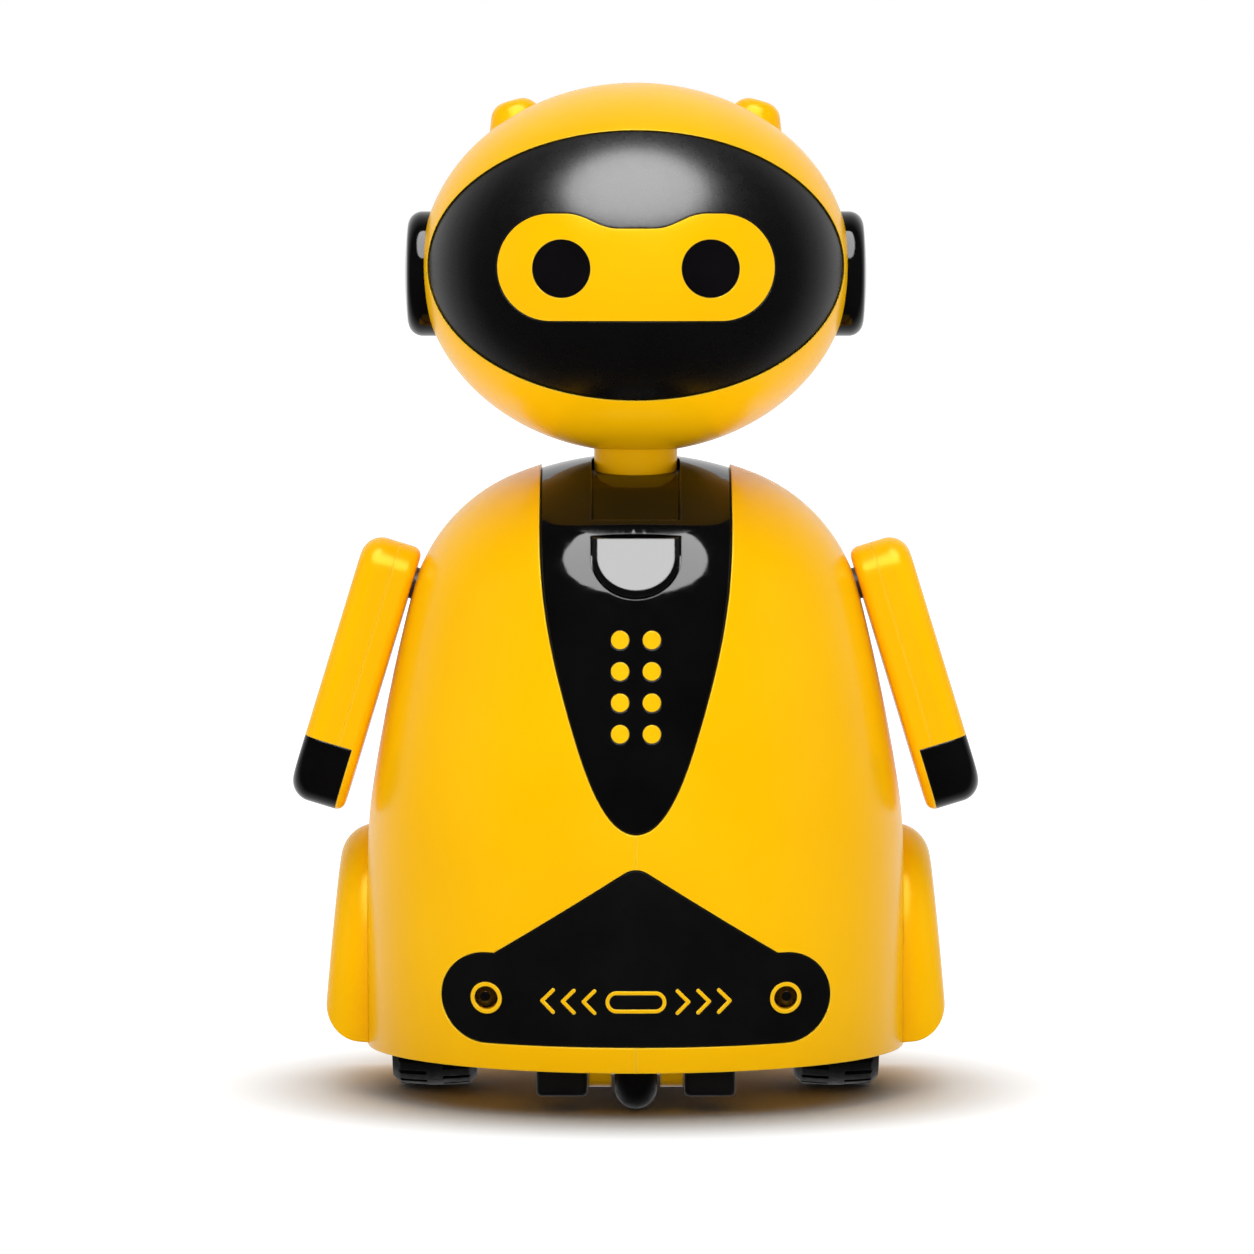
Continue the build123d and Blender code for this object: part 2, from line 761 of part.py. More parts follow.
with BuildPart() as idler_gear:
    with BuildSketch(gear_plane(pinion_inner, idler_y, idler_z)):
        add(gear_outline(idler_teeth, idler_big_phase))
    extrude(amount=pinion_outer - pinion_inner)
    with BuildSketch(gear_plane(pinion_outer, idler_y, idler_z)):
        add(gear_outline(pinion_teeth, idler_small_phase))
    extrude(amount=lower_outer - pinion_outer)
    with BuildSketch(gear_plane(pinion_inner, idler_y, idler_z)):
        Circle(pin_post + running_gap)
    extrude(amount=lower_outer - pinion_inner, mode=Mode.SUBTRACT)
save_pair(idler_gear, "idler_gear")

motor_front, motor_length = 16.2, 15.0
motor_round, motor_flat = 6.0, 10.0
with BuildPart() as motor_pinion:
    with BuildSketch(gear_plane(pinion_inner, motor_y, motor_z)):
        add(gear_outline(pinion_teeth, pinion_phase))
    extrude(amount=pinion_outer - pinion_inner)
    with BuildSketch(gear_plane(motor_front - 2, motor_y, motor_z)):
        Circle(shaft_radius)
    extrude(amount=pinion_outer - motor_front + 2.4)
save_pair(motor_pinion, "motor_pinion")

with BuildPart() as motor:
    with BuildSketch(gear_plane(motor_front, motor_y, motor_z)):
        Circle(motor_round)
        Rectangle(2 * motor_round, motor_flat, mode=Mode.INTERSECT)
    extrude(amount=-motor_length)
    with BuildSketch(gear_plane(motor_front, motor_y, motor_z)):
        Circle(2.0)
    extrude(amount=0.8)
    with BuildSketch(gear_plane(motor_front + 0.8, motor_y, motor_z)):
        Circle(shaft_radius + running_gap)
    extrude(amount=-3.3, mode=Mode.SUBTRACT)
save_pair(motor, "motor")

bracket_outer, bracket_outer_wall = 21.6, 1.3
bracket_front, bracket_back = -7.0, 14.4
bracket_top = 35.4
with BuildPart() as motor_brackets:
    for x, thick, top in ((motor_front, 1.0, bracket_top), (bracket_outer, bracket_outer_wall, 24.6)):
        with BuildSketch(Plane.YZ.offset(x)):
            with Locations(((bracket_front + bracket_back) / 2, (base_top + top) / 2)):
                RectangleRounded(bracket_back - bracket_front, top - base_top, 2)
        extrude(amount=thick)
    with BuildSketch(Plane.XY.offset(base_top + 2)):
        with Locations(((motor_front + bracket_outer) / 2 + 0.5, bracket_back - 0.5)):
            Rectangle(bracket_outer - motor_front, 1)
    extrude(amount=12)
    with BuildSketch(gear_plane(motor_front, 0, wheel_radius)):
        Circle(axle_radius + running_gap)
    extrude(amount=10, mode=Mode.SUBTRACT)
    with BuildSketch(gear_plane(motor_front, motor_y, motor_z)):
        Circle(2.0)
    extrude(amount=1, mode=Mode.SUBTRACT)
    with BuildSketch(gear_plane(motor_front, idler_y, idler_z)):
        Circle(pin_post)
    extrude(amount=10, mode=Mode.SUBTRACT)
    mirror(about=Plane.YZ)
save(motor_brackets, "motor_brackets")

with BuildPart() as idler_pins:
    with BuildSketch(gear_plane(motor_front, idler_y, idler_z)):
        Circle(pin_post)
    extrude(amount=bracket_outer + bracket_outer_wall - motor_front)
    mirror(about=Plane.YZ)
save(idler_pins, "idler_pins")

# ---- Wheels ----------------------------------------------------------------

tread_crown, tread_notches, notch_depth = 0.9, 26, 0.5
wheel_mid = (wheel_inner + wheel_outer) / 2
with BuildPart() as wheel_hub:
    with BuildSketch(gear_plane(wheel_inner + 0.6, 0, wheel_radius)):
        Circle(hub_radius)
        Circle(axle_radius, mode=Mode.SUBTRACT)
    extrude(amount=wheel_outer - wheel_inner - 1.2)
    for x, out in ((wheel_inner + 0.6, 1), (wheel_outer - 0.6, -1)):
        with BuildSketch(gear_plane(x, 0, wheel_radius)):
            Circle(hub_radius - 1.3)
            Circle(3.0, mode=Mode.SUBTRACT)
        extrude(amount=out * 4.6, mode=Mode.SUBTRACT)
    with BuildSketch(gear_plane(wheel_inner, 0, wheel_radius)):
        with PolarLocations(5.4, 5):
            Circle(1.5)
    extrude(amount=wheel_outer - wheel_inner, mode=Mode.SUBTRACT)
save_pair(wheel_hub, "wheel_hub")

with BuildPart() as tyre:
    with BuildSketch(Plane.XY.offset(wheel_radius)):
        with BuildLine():
            crown = ThreePointArc(
                (wheel_inner + 1.2, -wheel_radius + tread_crown / 3),
                (wheel_mid, -wheel_radius),
                (wheel_outer - 1.2, -wheel_radius + tread_crown / 3),
            )
            Polyline(
                crown @ 1,
                (wheel_outer, -wheel_radius + tread_crown + 0.5),
                (wheel_outer, -hub_radius),
                (wheel_inner, -hub_radius),
                (wheel_inner, -wheel_radius + tread_crown + 0.5),
                crown @ 0,
            )
        make_face()
    revolve(axis=Axis((0, 0, wheel_radius), (1, 0, 0)))
    for side in (1, -1):
        with BuildSketch(gear_plane(wheel_mid + side * 1.2, 0, wheel_radius)):
            with PolarLocations(wheel_radius, tread_notches, start_angle=90 + side * 180 / tread_notches / 2):
                Rectangle(2 * notch_depth, 1.0)
        extrude(amount=side * wheel_radius, mode=Mode.SUBTRACT)
save_pair(tyre, "tyre")

# ---- Main board ------------------------------------------------------------

board_z, board_half_x, board_half_y, board_y = bracket_top, 24.0, 22.0, 2.0
board_thickness = 1.6
with BuildPart() as main_board:
    with BuildSketch(Plane.XY.offset(board_z)):
        with Locations((0, board_y)):
            RectangleRounded(2 * board_half_x, 2 * board_half_y, 3)
            with GridLocations(2 * board_half_x - 6, 2 * board_half_y - 6, 2, 2):
                Circle(1.1, mode=Mode.SUBTRACT)
    extrude(amount=board_thickness)
save(main_board, "main_board")

board_top = board_z + board_thickness
with BuildPart() as board_components:
    for x, y, width, depth, height in (
        (-4, 2, 9, 9, 1.4),
        (9, 8, 5, 5, 1.2),
        (9, -5, 4, 5, 1.2),
        (-16, -10, 8, 5, 6),
        (-4, -12, 10, 5, 6),
        (14, 15, 10, 5, 6),
    ):
        with BuildSketch(Plane.XY.offset(board_top)):
            with Locations((x, board_y + y)):
                Rectangle(width, depth)
        extrude(amount=height)
    with BuildSketch(Plane.XY.offset(board_top)):
        with Locations((-15, board_y + 9), (-15, board_y + 2)):
            Circle(2.5)
    extrude(amount=7)
save(board_components, "board_components")

# ---- Neck ------------------------------------------------------------------

bush_bottom = 88.4
flange_top, flange_bottom, flange_radius = 88.0, 86.6, 8.2
neck_top = 99.6
collar_radius, collar_bottom = 8.4, 98.4

with BuildPart() as neck_bush:
    with BuildSketch(Plane.XY.offset(bush_bottom)):
        with Locations((0, head_y)):
            Circle(9.0)
            Circle(neck_radius + running_gap, mode=Mode.SUBTRACT)
    extrude(amount=reach)
    add(dome(band_inner), mode=Mode.INTERSECT)
save(neck_bush, "neck_bush")

with BuildPart() as neck_tube:
    for bottom, top, radius in (
        (flange_bottom, flange_top, flange_radius),
        (flange_top, neck_top, neck_radius),
        (collar_bottom, neck_top, collar_radius),
    ):
        with BuildSketch(Plane.XY.offset(bottom)):
            with Locations((0, head_y)):
                Circle(radius)
        extrude(amount=top - bottom)
    with BuildSketch(Plane.XY.offset(flange_bottom)):
        with Locations((0, head_y)):
            Circle(neck_bore)
    extrude(amount=neck_top - flange_bottom, mode=Mode.SUBTRACT)
save(neck_tube, "neck_tube")

# ---- Head ------------------------------------------------------------------

visor_wall_in = visor_sink + visor_wall
ear_plane = Plane((ear_inner, ear_y, head_split), x_dir=(0, 1, 0), z_dir=(1, 0, 0))
head_screw_spots = [(-15.0, head_y + 15.0), (15.0, head_y + 15.0)]
ear_peg_radius, ear_peg_depth = 3.0, 4.0


def visor_block(gap):
    """Everything that lies behind the visor's oval outline, as far as its side edges."""
    with BuildPart() as block:
        with BuildSketch(Plane.XZ.offset(visor_depth - head_y)):
            with Locations((0, visor_z)):
                Ellipse(visor_half_x + gap, visor_half_z + gap)
        extrude(amount=reach)
    return block.part


def mask_block(gap):
    """Everything that lies behind the eye mask's outline."""
    top = mask_end_radius + gap
    notch = top - mask_notch_depth
    with BuildPart() as block:
        with BuildSketch(Plane.XZ.offset(-head_y).shift_origin((0, head_y, mask_z))):
            with BuildLine():
                right = ThreePointArc((mask_end_x, -top), (mask_end_x + top, 0), (mask_end_x, top))
                Line(right @ 1, (mask_peak_x, top))
                slope = Spline(
                    (mask_peak_x, top), (mask_notch_half, notch), tangents=[(-1, 0), (-1, 0)]
                )
                Line(slope @ 1, (0, notch))
                mirror(about=Plane.YZ)
                Line((-mask_end_x, -top), (mask_end_x, -top))
            make_face()
        extrude(amount=reach)
    return block.part


def eye_block(radius):
    """Two round rods along the line of sight, one through each eye."""
    with BuildPart() as block:
        with BuildSketch(Plane.XZ.offset(-head_y)):
            with Locations((-eye_x, eye_z), (eye_x, eye_z)):
                Circle(radius)
        extrude(amount=reach)
    return block.part


with BuildPart() as head_skin:
    add(ball_skin(0, wall))
    add(visor_block(seam_gap), mode=Mode.SUBTRACT)
    with BuildSketch(ear_plane):
        Circle(ear_radius + 0.1)
    extrude(amount=reach, mode=Mode.SUBTRACT)
    with BuildSketch(ear_plane.offset(-4)):
        Circle(ear_peg_radius)
    extrude(amount=reach, mode=Mode.SUBTRACT)
    split(bisect_by=Plane.YZ, keep=Keep.TOP)
    mirror(about=Plane.YZ)

with BuildPart() as head_pillars:
    with BuildSketch(Plane.XY.offset(head_z - head_half_height)):
        with Locations(*head_screw_spots):
            Circle(2.8)
    extrude(amount=2 * head_half_height)
    add(ball(wall / 2), mode=Mode.INTERSECT)

with BuildPart() as horns:
    lean = radians(horn_lean)
    horn_z = head_half_height * sqrt(1 - (horn_x**2 + horn_y**2) / head_radius**2)
    with BuildSketch(
        Plane(
            (horn_x, head_y + horn_y, head_z + horn_z - 1.2),
            x_dir=(cos(lean), 0, -sin(lean)),
            z_dir=(sin(lean), 0, cos(lean)),
        )
    ):
        Circle(horn_radius)
    extrude(amount=horn_height, taper=horn_taper)
    fillet(faces().sort_by(Axis.Z)[-1].edges(), horn_round)
    mirror(about=Plane.YZ)

with BuildPart() as head_shell_top:
    add(head_skin.part)
    add(head_pillars.part)
    split(bisect_by=Plane.XY.offset(head_split), keep=Keep.TOP)
    add(horns.part)
    with BuildSketch(Plane.XY.offset(head_split)):
        with Locations(*head_screw_spots):
            Circle(boss_hole)
    extrude(amount=8, mode=Mode.SUBTRACT)
save(head_shell_top, "head_shell_top")

head_screw_seat = 112.0
with BuildPart() as head_shell_bottom:
    add(head_skin.part)
    add(head_pillars.part)
    split(bisect_by=Plane.XY.offset(head_split), keep=Keep.BOTTOM)
    with BuildSketch(Plane.XY.offset(head_z - head_half_height - 1)):
        with Locations((0, head_y)):
            Circle(neck_radius + 0.05)
    extrude(amount=5, mode=Mode.SUBTRACT)
    with BuildSketch(Plane.XY.offset(head_screw_seat)):
        with Locations(*head_screw_spots):
            Circle(2.0)
    extrude(amount=-reach, mode=Mode.SUBTRACT)
    with BuildSketch(Plane.XY.offset(head_screw_seat)):
        with Locations(*head_screw_spots):
            Circle(1.1)
    extrude(amount=reach, mode=Mode.SUBTRACT)
save(head_shell_bottom, "head_shell_bottom")

with BuildPart() as head_screws:
    with BuildSketch(Plane.XY.offset(head_screw_seat)):
        with Locations(*head_screw_spots):
            Circle(1.8)
    extrude(amount=-1.3)
    with BuildSketch(Plane.XY.offset(head_screw_seat)):
        with Locations(*head_screw_spots):
            Circle(boss_hole)
    extrude(amount=head_split - head_screw_seat + 7)
save(head_screws, "head_screws")

with BuildPart() as mask_seat:
    add(mask_block(0.1))
    add(ball(mask_wall), mode=Mode.SUBTRACT)

with BuildPart() as visor:
    add(ball_skin(visor_sink, visor_wall_in))
    add(visor_block(0), mode=Mode.INTERSECT)
    add(mask_seat.part, mode=Mode.SUBTRACT)
    add(eye_block(eye_radius + 0.05), mode=Mode.SUBTRACT)
save(visor, "visor")

with BuildPart() as eye_mask:
    add(ball_skin(0.05, mask_wall - 0.05))
    add(mask_block(0), mode=Mode.INTERSECT)
    add(eye_block(eye_radius + 0.08), mode=Mode.SUBTRACT)
save(eye_mask, "eye_mask")

with BuildPart() as eye_lenses:
    add(ball_skin(0.15, visor_wall_in + 0.4))
    add(eye_block(eye_radius), mode=Mode.INTERSECT)
save(eye_lenses, "eye_lenses")

eye_board_y, eye_board_half_x, eye_board_half_z = 27.0, 16.0, 6.0
with BuildPart() as eye_board:
    with BuildSketch(Plane.XZ.offset(eye_board_y)):
        with Locations((0, eye_z)):
            RectangleRounded(2 * eye_board_half_x, 2 * eye_board_half_z, 1)
    extrude(amount=-1.2)
save(eye_board, "eye_board")

with BuildPart() as eye_leds:
    with BuildSketch(Plane.XZ.offset(eye_board_y)):
        with Locations((-eye_x, eye_z), (eye_x, eye_z)):
            Circle(2.5)
    extrude(amount=5.0)
    fillet(faces().filter_by(Plane.XZ).group_by(Axis.Y)[0].edges(), 2.0)
save(eye_leds, "eye_leds")

ear_dome, ear_corner = 0.7, 2.2
with BuildPart() as ear:
    with BuildSketch(Plane.XY.offset(head_split)):
        with BuildLine():
            face = ThreePointArc(
                (ear_outer - ear_dome, ear_y + ear_radius),
                (ear_outer, ear_y),
                (ear_outer - ear_dome, ear_y - ear_radius),
            )
            Polyline(
                face @ 1,
                (ear_inner, ear_y - ear_radius),
                (ear_inner, ear_y + ear_radius),
                face @ 0,
            )
        make_face()
        fillet(vertices().group_by(Axis.X)[-1], ear_corner)
        split(bisect_by=Plane.XZ.offset(-ear_y), keep=Keep.TOP)
    revolve(axis=Axis((0, ear_y, head_split), (1, 0, 0)))
    with BuildSketch(ear_plane):
        Circle(ear_peg_radius)
    extrude(amount=-ear_peg_depth)
save_pair(ear, "ear")

# ---- Arms ------------------------------------------------------------------


def arm_outline(inset):
    """Side view of an arm: two round ends joined by straight flanks."""
    with BuildSketch() as outline:
        Circle(arm_top_radius - inset)
        with Locations((0, -arm_span)):
            Circle(arm_end_radius - inset)
        make_hull()
    return outline.sketch


def arm_slab(bottom, top, low, high):
    """Block across the arm, between two depths and two heights below the pivot."""
    with BuildPart() as slab:
        with BuildSketch(arm_plane.offset(bottom)):
            with Locations((0, (low + high) / 2)):
                Rectangle(4 * arm_end_radius, high - low)
        extrude(amount=top - bottom)
    return slab.part


arm_face = arm_plane.offset(arm_thickness).rotated((-arm_splay, 0, 0))
arm_foot = -arm_span - 2 * arm_end_radius
arm_head = 2 * arm_top_radius
thick = 2 * arm_thickness

with BuildPart() as arm_blank:
    with BuildSketch(arm_plane):
        add(arm_outline(0))
    extrude(amount=thick)
    split(bisect_by=arm_face, keep=Keep.BOTTOM)
    fillet(faces().sort_by(Axis(arm_plane.origin, arm_plane.z_dir))[-1].edges(), arm_outer_round)
    fillet(faces().sort_by(Axis(arm_plane.origin, arm_plane.z_dir))[0].edges(), arm_inner_round)

with BuildPart() as arm_cavity:
    with BuildSketch(arm_plane.offset(arm_skin)):
        add(arm_outline(arm_skin))
    extrude(amount=arm_thickness - 2.4 * arm_skin)
    add(arm_slab(0, thick, -hand_line + arm_skin, arm_head), mode=Mode.INTERSECT)

with BuildPart() as arm_cover:
    add(arm_blank.part)
    add(arm_slab(arm_split, thick, -hand_line, arm_head), mode=Mode.INTERSECT)
    add(arm_cavity.part, mode=Mode.SUBTRACT)
save_pair(arm_cover, "arm_cover")

with BuildPart() as arm_inner:
    add(arm_blank.part)
    add(arm_slab(arm_split, thick, -hand_line, arm_head), mode=Mode.SUBTRACT)
    add(arm_slab(hand_back, thick, arm_foot, -hand_line), mode=Mode.SUBTRACT)
    add(arm_cavity.part, mode=Mode.SUBTRACT)
    with BuildSketch(arm_plane):
        Circle(pin_radius)
    extrude(amount=arm_split, mode=Mode.SUBTRACT)
save_pair(arm_inner, "arm_inner")

with BuildPart() as hand:
    add(arm_blank.part)
    add(arm_slab(hand_back, thick, arm_foot, -hand_line), mode=Mode.INTERSECT)
save_pair(hand, "hand")

clip_top, clip_bottom, pin_end = -2.8, -3.6, -4.6
with BuildPart() as shoulder_pin:
    with BuildSketch(shoulder_plane.offset(pin_end)):
        Circle(pin_radius)
    extrude(amount=arm_gap + arm_skin - pin_end)
    with BuildSketch(arm_plane.offset(arm_skin)):
        Circle(arm_top_radius - arm_skin - 0.3)
    extrude(amount=1.0)
    with BuildSketch(shoulder_plane.offset(clip_bottom)):
        Circle(pin_radius + 1.7)
    extrude(amount=clip_top - clip_bottom)
save_pair(shoulder_pin, "shoulder_pin")
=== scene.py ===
import bpy
from math import cos, radians, sin
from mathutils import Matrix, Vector

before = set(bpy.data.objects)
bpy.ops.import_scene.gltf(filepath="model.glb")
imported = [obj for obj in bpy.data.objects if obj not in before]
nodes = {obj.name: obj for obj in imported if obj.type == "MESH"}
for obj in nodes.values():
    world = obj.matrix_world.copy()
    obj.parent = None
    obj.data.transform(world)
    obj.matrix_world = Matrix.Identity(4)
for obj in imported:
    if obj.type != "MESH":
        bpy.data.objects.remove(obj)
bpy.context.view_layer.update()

# ---- Surface finishes -------------------------------------------------------
# Each finish is a node material in real units: sizes are in metres, and the two
# colours are the darkest and the lightest that it drifts between.

MM = 0.001
HIGHLIGHT_COSINE, FLAT_COSINE = 0.82, 0.995     # between the rounded and the true normal; the painted edge highlight is full at the first and gone at the second
COAT_ROUGHNESS = 0.06
SCATTER_RADIUS = (1.0, 0.6, 0.1)           # how far red, green and blue scatter
SCATTER_SCALE = 1.2 * MM


def new_material(name):
    """An empty node material with its shader, and the object coordinates."""
    material = bpy.data.materials.new(name)
    material.use_nodes = True
    tree = material.node_tree
    tree.nodes.clear()
    output = tree.nodes.new("ShaderNodeOutputMaterial")
    shader = tree.nodes.new("ShaderNodeBsdfPrincipled")
    tree.links.new(shader.outputs["BSDF"], output.inputs["Surface"])
    place = tree.nodes.new("ShaderNodeTexCoord")
    return material, tree, shader, place.outputs["Object"]


def noise(tree, place, size, detail=3.0, rough=0.55):
    """Noise whose patches are about size metres across."""
    texture = tree.nodes.new("ShaderNodeTexNoise")
    texture.inputs["Scale"].default_value = 1 / size
    texture.inputs["Detail"].default_value = detail
    texture.inputs["Roughness"].default_value = rough
    tree.links.new(place, texture.inputs["Vector"])
    return texture.outputs["Fac"]


def spread(tree, value, low, high, start=0.35, end=0.65, ease="LINEAR"):
    """A value spread from low to high as the input goes from start to end."""
    reach = tree.nodes.new("ShaderNodeMapRange")
    reach.interpolation_type = ease
    reach.inputs["From Min"].default_value = start
    reach.inputs["From Max"].default_value = end
    reach.inputs["To Min"].default_value = low
    reach.inputs["To Max"].default_value = high
    tree.links.new(value, reach.inputs["Value"])
    return reach.outputs["Result"]


def shade(tree, factor, first, second):
    """A colour between two, by a factor."""
    mix = tree.nodes.new("ShaderNodeMix")
    mix.data_type = "RGBA"
    tree.links.new(factor, mix.inputs[0])
    for socket, colour in ((mix.inputs[6], first), (mix.inputs[7], second)):
        if isinstance(colour, tuple):
            socket.default_value = (*colour, 1.0)
        else:
            tree.links.new(colour, socket)
    return mix.outputs[2]


def edges(tree, radius):
    """The normal rounded over sharp edges, and a mask that is 1 on them."""
    bevel = tree.nodes.new("ShaderNodeBevel")
    bevel.samples = 4
    bevel.inputs["Radius"].default_value = radius
    true_normal = tree.nodes.new("ShaderNodeNewGeometry")
    dot = tree.nodes.new("ShaderNodeVectorMath")
    dot.operation = "DOT_PRODUCT"
    tree.links.new(bevel.outputs["Normal"], dot.inputs[0])
    tree.links.new(true_normal.outputs["Normal"], dot.inputs[1])
    mask = spread(tree, dot.outputs["Value"], 1.0, 0.0, HIGHLIGHT_COSINE, FLAT_COSINE)
    return bevel.outputs["Normal"], mask


def finish(name, dark, light, polish, grain, depth, drift=12 * MM, edge_highlight=None,
           rounded=0.0, metal=0.0, coat=0.0, glow=0.0, specular=0.5,
           tint=(1.0, 1.0, 1.0)):
    """A moulded, rubber or metal surface.

    Its colour wanders from dark to light over patches drift metres across, and
    polish is its lowest and highest roughness. The grain is grain metres across
    and depth metres deep. Sharp edges are rounded by the radius rounded, and
    take the lighter edge colour that is passed in, a painted highlight along
    them. glow is the share of light that scatters inside.
    """
    material, tree, shader, place = new_material(name)
    colour = shade(tree, spread(tree, noise(tree, place, drift), 0.0, 1.0), dark, light)
    rough = spread(tree, noise(tree, place, drift / 5, 5.0), *polish)
    bump = tree.nodes.new("ShaderNodeBump")
    bump.inputs["Strength"].default_value = 1.0
    bump.inputs["Distance"].default_value = depth
    tree.links.new(noise(tree, place, grain, 2.0), bump.inputs["Height"])
    if rounded:
        normal, edge = edges(tree, rounded)
        tree.links.new(normal, bump.inputs["Normal"])
        # Sharp edges take a lighter colour: a painted highlight along them.
        if edge_highlight:
            colour = shade(tree, edge, colour, edge_highlight)
    tree.links.new(bump.outputs["Normal"], shader.inputs["Normal"])
    tree.links.new(colour, shader.inputs["Base Color"])
    tree.links.new(rough, shader.inputs["Roughness"])
    shader.inputs["Metallic"].default_value = metal
    shader.inputs["Coat Weight"].default_value = coat
    shader.inputs["Coat Roughness"].default_value = COAT_ROUGHNESS
    shader.inputs["Specular IOR Level"].default_value = specular
    shader.inputs["Specular Tint"].default_value = (*tint, 1.0)
    if glow:
        shader.inputs["Subsurface Weight"].default_value = glow
        shader.inputs["Subsurface Radius"].default_value = SCATTER_RADIUS
        shader.inputs["Subsurface Scale"].default_value = SCATTER_SCALE
    return material


# The lighter edge colour given to each finish below is a painted highlight along its
# sharp edges.
yellow = finish(
    "yellow_abs", (0.935, 0.475, 0.0006), (0.965, 0.505, 0.0012), (0.20, 0.27),
    0.4 * MM, 0.0006 * MM, 30 * MM, edge_highlight=(1.0, 0.68, 0.05), rounded=0.35 * MM,
    specular=0.22, tint=(1.0, 0.90, 0.16))
gloss_black = finish(
    "black_gloss", (0.0022, 0.0022, 0.0024), (0.0034, 0.0034, 0.0037), (0.04, 0.08),
    0.6 * MM, 0.0004 * MM, 10 * MM, edge_highlight=(0.02, 0.02, 0.021), rounded=0.3 * MM,
    specular=0.24)
button_black = finish(
    "button_gloss", (0.0026, 0.0026, 0.0028), (0.0036, 0.0036, 0.0039), (0.05, 0.08),
    0.6 * MM, 0.0003 * MM, 10 * MM, edge_highlight=(0.02, 0.02, 0.021), rounded=0.3 * MM,
    specular=0.45)
satin_black = finish(
    "black_satin", (0.0022, 0.0021, 0.0021), (0.0028, 0.0027, 0.0027), (0.265, 0.285),
    0.3 * MM, 0.0002 * MM, 10 * MM, edge_highlight=(0.02, 0.02, 0.021), rounded=0.3 * MM,
    specular=0.36)
matt_black = finish(
    "black_matt", (0.0030, 0.0030, 0.0030), (0.0042, 0.0042, 0.0042), (0.30, 0.36),
    0.3 * MM, 0.0010 * MM, 10 * MM, edge_highlight=(0.02, 0.02, 0.02), rounded=0.3 * MM,
    specular=0.06)
moulded_black = finish(
    "black_moulded", (0.005, 0.005, 0.0055), (0.008, 0.008, 0.0085), (0.38, 0.50),
    0.25 * MM, 0.006 * MM, 6 * MM, edge_highlight=(0.015, 0.015, 0.016), rounded=0.25 * MM,
    specular=0.3)
rubber = finish(
    "tyre_rubber", (0.0028, 0.0028, 0.0028), (0.0050, 0.0049, 0.0047), (0.42, 0.58),
    0.22 * MM, 0.010 * MM, 5 * MM, edge_highlight=(0.010, 0.0095, 0.009), rounded=0.25 * MM,
    specular=0.12)
smoked_lens = finish(
    "smoked_lens", (0.0022, 0.0018, 0.0024), (0.0034, 0.0028, 0.0036), (0.03, 0.06),
    0.5 * MM, 0.0005 * MM, 5 * MM, coat=0.4)
nylon = finish(
    "white_nylon", (0.72, 0.70, 0.64), (0.80, 0.78, 0.73), (0.34, 0.46),
    0.3 * MM, 0.006 * MM, 6 * MM, glow=0.1)
grey_plastic = finish(
    "grey_plastic", (0.045, 0.047, 0.050), (0.060, 0.062, 0.066), (0.40, 0.52),
    0.25 * MM, 0.010 * MM, 6 * MM)
brass = finish(
    "brass", (0.62, 0.43, 0.17), (0.72, 0.52, 0.22), (0.20, 0.34),
    0.15 * MM, 0.004 * MM, 4 * MM, metal=1.0)
steel = finish(
    "plated_steel", (0.56, 0.56, 0.57), (0.68, 0.68, 0.69), (0.18, 0.34),
    0.12 * MM, 0.004 * MM, 4 * MM, metal=1.0)
circuit_board = finish(
    "green_board", (0.008, 0.075, 0.022), (0.012, 0.11, 0.034), (0.28, 0.42),
    0.5 * MM, 0.006 * MM, 3 * MM)
chip_resin = finish(
    "chip_resin", (0.012, 0.012, 0.013), (0.022, 0.022, 0.023), (0.45, 0.60),
    0.2 * MM, 0.008 * MM, 3 * MM)
cell_sleeve = finish(
    "cell_sleeve", (0.06, 0.06, 0.065), (0.09, 0.09, 0.095), (0.22, 0.32),
    0.8 * MM, 0.003 * MM, 8 * MM)
led_resin = finish(
    "led_resin", (0.80, 0.82, 0.84), (0.88, 0.90, 0.92), (0.08, 0.14),
    0.3 * MM, 0.001 * MM, 3 * MM, glow=0.2)

FINISHES = {
    yellow: (
        "body_shell_left", "body_shell_right", "fender_left", "fender_right",
        "chassis_base", "speaker_studs", "plate_trim", "sensor_rings",
        "head_shell_top", "head_shell_bottom", "eye_mask", "neck_tube",
        "arm_cover_left", "arm_cover_right", "arm_inner_left", "arm_inner_right",
    ),
    gloss_black: ("chest_band", "ear_left", "ear_right", "hand_left", "hand_right"),
    button_black: ("mode_button",),
    satin_black: ("visor",),
    matt_black: ("front_plate",),
    moulded_black: ("line_sensors", "battery_door", "switch_knob"),
    rubber: ("tyre_left", "tyre_right", "roller"),
    smoked_lens: ("eye_lenses", "obstacle_sensors"),
    nylon: (
        "wheel_hub_left", "wheel_hub_right", "drive_axle_left", "drive_axle_right",
        "idler_gear_left", "idler_gear_right", "neck_bush",
    ),
    grey_plastic: (
        "battery_box", "power_switch", "mode_switch", "motor_brackets", "speaker",
        "shoulder_pin_left", "shoulder_pin_right",
    ),
    brass: ("motor_pinion_left", "motor_pinion_right"),
    steel: (
        "base_screws", "head_screws", "roller_pin", "idler_pins", "motor_left",
        "motor_right", "battery_contacts",
    ),
    circuit_board: ("main_board", "eye_board"),
    chip_resin: ("board_components",),
    cell_sleeve: ("battery_cells",),
    led_resin: ("eye_leds",),
}

for material, names in FINISHES.items():
    for name in names:
        mesh = nodes[name].data
        mesh.materials.clear()
        mesh.materials.append(material)
        for face in mesh.polygons:
            face.material_index = 0

# ---- Floor ------------------------------------------------------------------

FLOOR_RINGS = (0.15, 0.4, 1.0, 2.5, 6.0, 14.0)     # radii of the disc, in metres
FLOOR_SIDES = 64
FLOOR_GLOW = 1.25
GLOW_STARTS, GLOW_FULL = 0.034, 0.078              # radii, in metres


